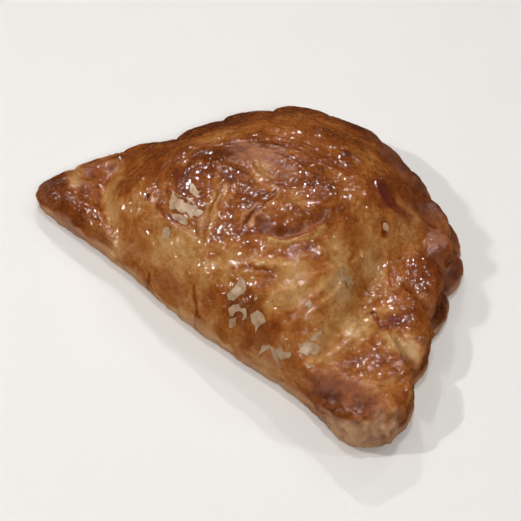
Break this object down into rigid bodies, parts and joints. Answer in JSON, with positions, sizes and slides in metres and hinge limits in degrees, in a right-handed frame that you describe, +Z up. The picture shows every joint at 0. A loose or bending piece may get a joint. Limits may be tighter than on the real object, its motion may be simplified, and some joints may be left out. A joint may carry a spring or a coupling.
{
  "type": "apple turnover",
  "caption": "Baked apple turnover: a glazed, golden-brown half-moon of puff pastry folded over its filling, with a crimped, scalloped edge and a rolled fold.",
  "frame": {"origin": "middle of the bounding box in plan, on the underside", "axes": "+Z up; the straight rolled fold runs along X on the -Y side, and the crimped round edge is on the +Y side"},
  "size_m": [0.1449, 0.0949, 0.0348],
  "materials": {
    "baked_crust": "baked, egg-washed puff pastry under a thin glossy syrup glaze, mottled from pale gold to dark brown"
  },
  "bodies": {
    "root": {"turnover": "baked_crust"}
  },
  "joints": []
}
